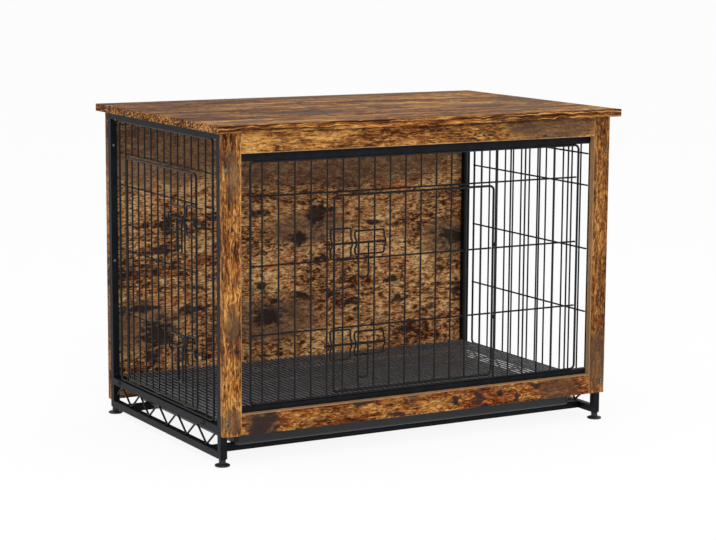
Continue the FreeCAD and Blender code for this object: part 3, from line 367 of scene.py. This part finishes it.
# ------------------------------------------------------------------ steel and plastic
def powder_coat(name, colour, worn, roughness, peel, shine):
    """Steel under a baked powder coat: satin, with the coat's fine orange peel and a faint
    cloudiness, a little greyer where it is thin."""
    material, tree = new_material(name)
    here = add(tree, "ShaderNodeTexCoord").outputs["Object"]
    cloud = add(tree, "ShaderNodeTexNoise", inputs={
        "Vector": here, "Scale": 1 / (22 * MM), "Detail": 4})
    # the real peel is about 0.4 mm: drawn coarser, so that it shows
    grit = add(tree, "ShaderNodeTexNoise", inputs={
        "Vector": here, "Scale": 1 / (peel * MM), "Detail": 2})
    coat = add(tree, "ShaderNodeValToRGB", inputs={"Fac": cloud.outputs["Fac"]}, stops=[
        (0.35, colour), (0.7, worn)])
    dent = add(tree, "ShaderNodeBump", inputs={
        "Height": grit.outputs["Fac"], "Strength": 0.2, "Distance": 0.05 * MM})
    gloss = add(tree, "ShaderNodeMapRange", inputs={
        "Value": cloud.outputs["Fac"], "To Min": roughness - 0.08, "To Max": roughness + 0.1})
    shader = add(tree, "ShaderNodeBsdfPrincipled", inputs={
        "Base Color": coat.outputs[0], "Roughness": gloss.outputs[0],
        "Normal": dent.outputs[0], "IOR": 1.5, "Specular IOR Level": shine})
    add(tree, "ShaderNodeOutputMaterial", inputs={"Surface": shader.outputs[0]})
    return material


def moulded_plastic(name, colour, shade, roughness):
    """Injection-moulded plastic: even colour with the tool's fine matt grain."""
    material, tree = new_material(name)
    here = add(tree, "ShaderNodeTexCoord").outputs["Object"]
    cloud = add(tree, "ShaderNodeTexNoise", inputs={
        "Vector": here, "Scale": 1 / (60 * MM), "Detail": 3})
    # the real grain is about 0.3 mm: drawn at 1.2 mm, so that it shows
    grain = add(tree, "ShaderNodeTexNoise", inputs={
        "Vector": here, "Scale": 1 / (1.2 * MM), "Detail": 2})
    tone = add(tree, "ShaderNodeValToRGB", inputs={"Fac": cloud.outputs["Fac"]}, stops=[
        (0.3, colour), (0.7, shade)])
    dent = add(tree, "ShaderNodeBump", inputs={
        "Height": grain.outputs["Fac"], "Strength": 0.3, "Distance": 0.06 * MM})
    shader = add(tree, "ShaderNodeBsdfPrincipled", inputs={
        "Base Color": tone.outputs[0], "Roughness": roughness, "Normal": dent.outputs[0],
        "IOR": 1.46})
    add(tree, "ShaderNodeOutputMaterial", inputs={"Surface": shader.outputs[0]})
    return material


def plated_steel(name, colour, shade, roughness):
    """Zinc-plated or blackened steel: bare metal, cloudy, rougher where it is duller."""
    material, tree = new_material(name)
    here = add(tree, "ShaderNodeTexCoord").outputs["Object"]
    spots = add(tree, "ShaderNodeTexNoise", inputs={
        "Vector": here, "Scale": 1 / (2.5 * MM), "Detail": 4})
    tone = add(tree, "ShaderNodeValToRGB", inputs={"Fac": spots.outputs["Fac"]}, stops=[
        (0.35, shade), (0.65, colour)])
    gloss = add(tree, "ShaderNodeMapRange", inputs={
        "Value": spots.outputs["Fac"], "To Min": roughness + 0.12, "To Max": roughness - 0.05})
    shader = add(tree, "ShaderNodeBsdfPrincipled", inputs={
        "Base Color": tone.outputs[0], "Metallic": 1, "Roughness": gloss.outputs[0]})
    add(tree, "ShaderNodeOutputMaterial", inputs={"Surface": shader.outputs[0]})
    return material


# colour, colour where the coat is thin, roughness, peel in mm, shine; the floor's wires are
# glossier, and greyer as a painted highlight, so that they show as thin bright lines over the tray,
# whose near black is partly painted shade
tube_black = powder_coat("powder_coated_tube", "#0b0e12", "#151920", 0.48, 0.8, 0.12)
wire_black = powder_coat("powder_coated_wire", "#070808", "#0e0f10", 0.34, 0.6, 0.25)
# painted highlight: a grey base colour on the black floor wires
floor_wire_painted_highlight = powder_coat("powder_coated_floor_wire_with_painted_highlight", "#5c6065", "#74797e", 0.22, 0.6, 0.7)
foot_plastic = moulded_plastic("moulded_black_nylon", "#131415", "#1d1e20", 0.5)
# painted shade: the tray is drawn near black, darker than its grey plastic, so that the gaps under
# the floor grid read as shade
tray_plastic_painted_shade = moulded_plastic("moulded_abs_darkened_as_painted_shade", "#121415", "#1b1d1f", 0.42)
zinc = plated_steel("zinc_plated_steel", "#8f8c86", "#4c4945", 0.24)
blackened = plated_steel("blackened_steel", "#4a4743", "#2a2826", 0.4)


def finish_of(node):
    """The material of one CAD node."""
    if node in BOARDS:
        return rustic_board(node, **BOARDS[node])
    if node == "leg_plugs" or "foot" in node:
        return foot_plastic
    if "tube" in node or "leg" in node or "cross_bar" in node:
        return tube_black
    if node == "tray":
        return tray_plastic_painted_shade
    if node == "floor_grid":
        return floor_wire_painted_highlight
    if node.endswith("_bolts") or node == "top_screws":
        return zinc
    return wire_black


for node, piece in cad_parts.items():
    piece.data.materials.clear()
    piece.data.materials.append(finish_of(node))

# ------------------------------------------------------------------ turned pieces
SIDES = 36
SIXTH_TURN = math.pi / 3
SHARP_EDGE = math.radians(32)


def turned(name, profile, places, material, body, replaced, hexed=()):
    """A piece turned from a profile of (radius, height) in mm, once for each place: its
    centre and its axis. The profile's hexed rings are six-sided, as a socket is."""
    mesh = bmesh.new()
    for centre, axis in places:
        turn = Vector(axis).to_track_quat("Z", "Y")
        rings = []
        for number, (radius, height) in enumerate(profile):
            ring = []
            for step in range(SIDES if radius else 1):
                angle = 2 * math.pi * step / SIDES
                reach = radius
                if number in hexed:
                    reach *= (math.cos(SIXTH_TURN / 2)
                              / math.cos(angle % SIXTH_TURN - SIXTH_TURN / 2))
                ring.append(mesh.verts.new(Vector(centre) + turn @ Vector(
                    (reach * MM * math.cos(angle), reach * MM * math.sin(angle), height * MM))))
            rings.append(ring)
        for low, high in zip(rings, rings[1:]):
            for step in range(SIDES):
                after = (step + 1) % SIDES
                if len(low) == 1:
                    mesh.faces.new((low[0], high[after], high[step]))
                elif len(high) == 1:
                    mesh.faces.new((low[step], low[after], high[0]))
                else:
                    mesh.faces.new((low[step], low[after], high[after], high[step]))
    bmesh.ops.recalc_face_normals(mesh, faces=mesh.faces)
    data = bpy.data.meshes.new(name)
    mesh.to_mesh(data)
    mesh.free()
    for face in data.polygons:
        face.use_smooth = True
    data.set_sharp_from_angle(angle=SHARP_EDGE)
    data.materials.append(material)
    piece = bpy.data.objects.new(name, data)
    scene.collection.objects.link(piece)
    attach(piece, body)
    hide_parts(replaced)


# button-head bolts with a hexagon socket, in mm
HEAD_RADIUS = 5.5
HEAD_HEIGHT = 3
SHANK_RADIUS = 3
SOCKET_RINGS = (11, 12)


def button_bolt(shank_length):
    """The end of the shank first, then up round the head and down into the socket."""
    return [(0, -shank_length), (2.6, -shank_length), (SHANK_RADIUS, -shank_length + 0.4),
            (SHANK_RADIUS, 0), (5.3, 0), (HEAD_RADIUS, 0.25), (5.45, 0.9), (5.1, 1.7),
            (4.6, 2.4), (4, 2.85), (3.5, HEAD_HEIGHT), (3.2, 2.85), (3.1, 0.5), (0, 0.3)]


low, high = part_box("facade_bolts")
seat = low[1] + HEAD_HEIGHT * MM
turned("facade_button_bolts", button_bolt((high[1] - seat) / MM),
       [((x, seat, z), (0, -1, 0))
        for x in (low[0] + HEAD_RADIUS * MM, high[0] - HEAD_RADIUS * MM)
        for z in (low[2] + HEAD_RADIUS * MM, high[2] - HEAD_RADIUS * MM)],
       zinc, "crate", "facade_bolts", SOCKET_RINGS)
for side, sign in (("left", -1), ("right", 1)):
    node = side + "_floor_bolts"
    low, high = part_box(node)
    outer, inner = (low[0], high[0]) if sign < 0 else (high[0], low[0])
    seat = outer - sign * HEAD_HEIGHT * MM
    turned(side + "_floor_button_bolts", button_bolt(abs(inner - seat) / MM),
           [((seat, y, (low[2] + high[2]) / 2), (sign, 0, 0))
            for y in (low[1] + HEAD_RADIUS * MM, high[1] - HEAD_RADIUS * MM)],
           blackened, "crate", node, SOCKET_RINGS)

# levelling feet, in mm: a rounded disc, a round collar on it and the screw above
FOOT = [(0, 0), (14.6, 0), (15.6, 0.5), (16, 1.4), (16, 2.6), (15.4, 3.6), (13.8, 4.3), (9.4, 5),
        (7.2, 5.4), (7.2, 6.2), (7.2, 12.6), (7.2, 13.6), (6.6, 14.4), (5.6, 14.8), (4, 14.8),
        (4, 32.2), (3.4, 33), (0, 33)]
for corner in ("left_front", "left_rear", "right_front", "right_rear"):
    node = corner + "_foot"
    low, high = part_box(node)
    turned(corner + "_levelling_foot", FOOT,
           [(((low[0] + high[0]) / 2, (low[1] + high[1]) / 2, low[2]), (0, 0, 1))],
           foot_plastic, node, node)

# ------------------------------------------------------------------ studio
WHITE = (1, 1, 1, 1)
FLOOR_SIZE = 60
# share of the floor's white that glows, so that the rest can take the shadow
FLOOR_GLOW = 0.9
SKY_STRENGTH = 0.75
# place, aim, size and power of each soft box
LAMPS = {
    "front_soft_box": ((-1.2, -3.6, 2.6), (0, 0, 0.35), 2.4, 66),
    "top_soft_box": ((0.4, -0.4, 3.4), (0, 0, 0.5), 2.6, 18),
    "left_soft_box": ((-3.4, -0.2, 1.6), (0, 0, 0.35), 2.0, 9),
}


def studio_floor():
    """Plain white floor: near white to the camera and in reflections, with a soft shadow."""
    bpy.ops.mesh.primitive_plane_add(size=FLOOR_SIZE, location=(0, 0, 0))
    floor = bpy.context.object
    floor.name = "studio_floor"
    material, tree = new_material("studio_floor_paint")
    ray = add(tree, "ShaderNodeLightPath")
    seen = add(tree, "ShaderNodeMath", {"operation": "MAXIMUM"}, {
        0: ray.outputs["Is Camera Ray"], 1: ray.outputs["Is Glossy Ray"]})
    seen = add(tree, "ShaderNodeMath", {"operation": "MAXIMUM"}, {
        0: seen.outputs[0], 1: ray.outputs["Is Transmission Ray"]})
    part = add(tree, "ShaderNodeMath", {"operation": "MULTIPLY"}, {
        0: seen.outputs[0], 1: FLOOR_GLOW})
    paint = add(tree, "ShaderNodeBsdfDiffuse", inputs={"Color": WHITE})
    glow = add(tree, "ShaderNodeEmission", inputs={"Color": WHITE, "Strength": 1})
    both = add(tree, "ShaderNodeMixShader", inputs={
        "Fac": part.outputs[0], 1: paint.outputs[0], 2: glow.outputs[0]})
    add(tree, "ShaderNodeOutputMaterial", inputs={"Surface": both.outputs[0]})
    floor.data.materials.append(material)


def studio_sky():
    """An even dome that lights the part, and is plain white to the camera."""
    world = bpy.data.worlds.new("studio_sky")
    scene.world = world
    world.use_nodes = True
    tree = world.node_tree
    tree.nodes.clear()
    ray = add(tree, "ShaderNodeLightPath")
    seen = add(tree, "ShaderNodeMath", {"operation": "MAXIMUM"}, {
        0: ray.outputs["Is Camera Ray"], 1: ray.outputs["Is Transmission Ray"]})
    level = add(tree, "ShaderNodeMapRange", inputs={
        "Value": seen.outputs[0], "To Min": SKY_STRENGTH, "To Max": 1})
    sky = add(tree, "ShaderNodeBackground", inputs={
        "Color": WHITE, "Strength": level.outputs[0]})
    add(tree, "ShaderNodeOutputWorld", inputs={"Surface": sky.outputs[0]})


def soft_box(name, place, target, size, power):
    data = bpy.data.lights.new(name, "AREA")
    data.shape = "SQUARE"
    data.size = size
    data.energy = power
    light = bpy.data.objects.new(name, data)
    scene.collection.objects.link(light)
    light.location = place
    light.rotation_euler = (Vector(target) - Vector(place)).to_track_quat("-Z", "Y").to_euler()


scene.view_settings.view_transform = "Standard"
studio_floor()
studio_sky()
for name, numbers in LAMPS.items():
    soft_box(name, *numbers)
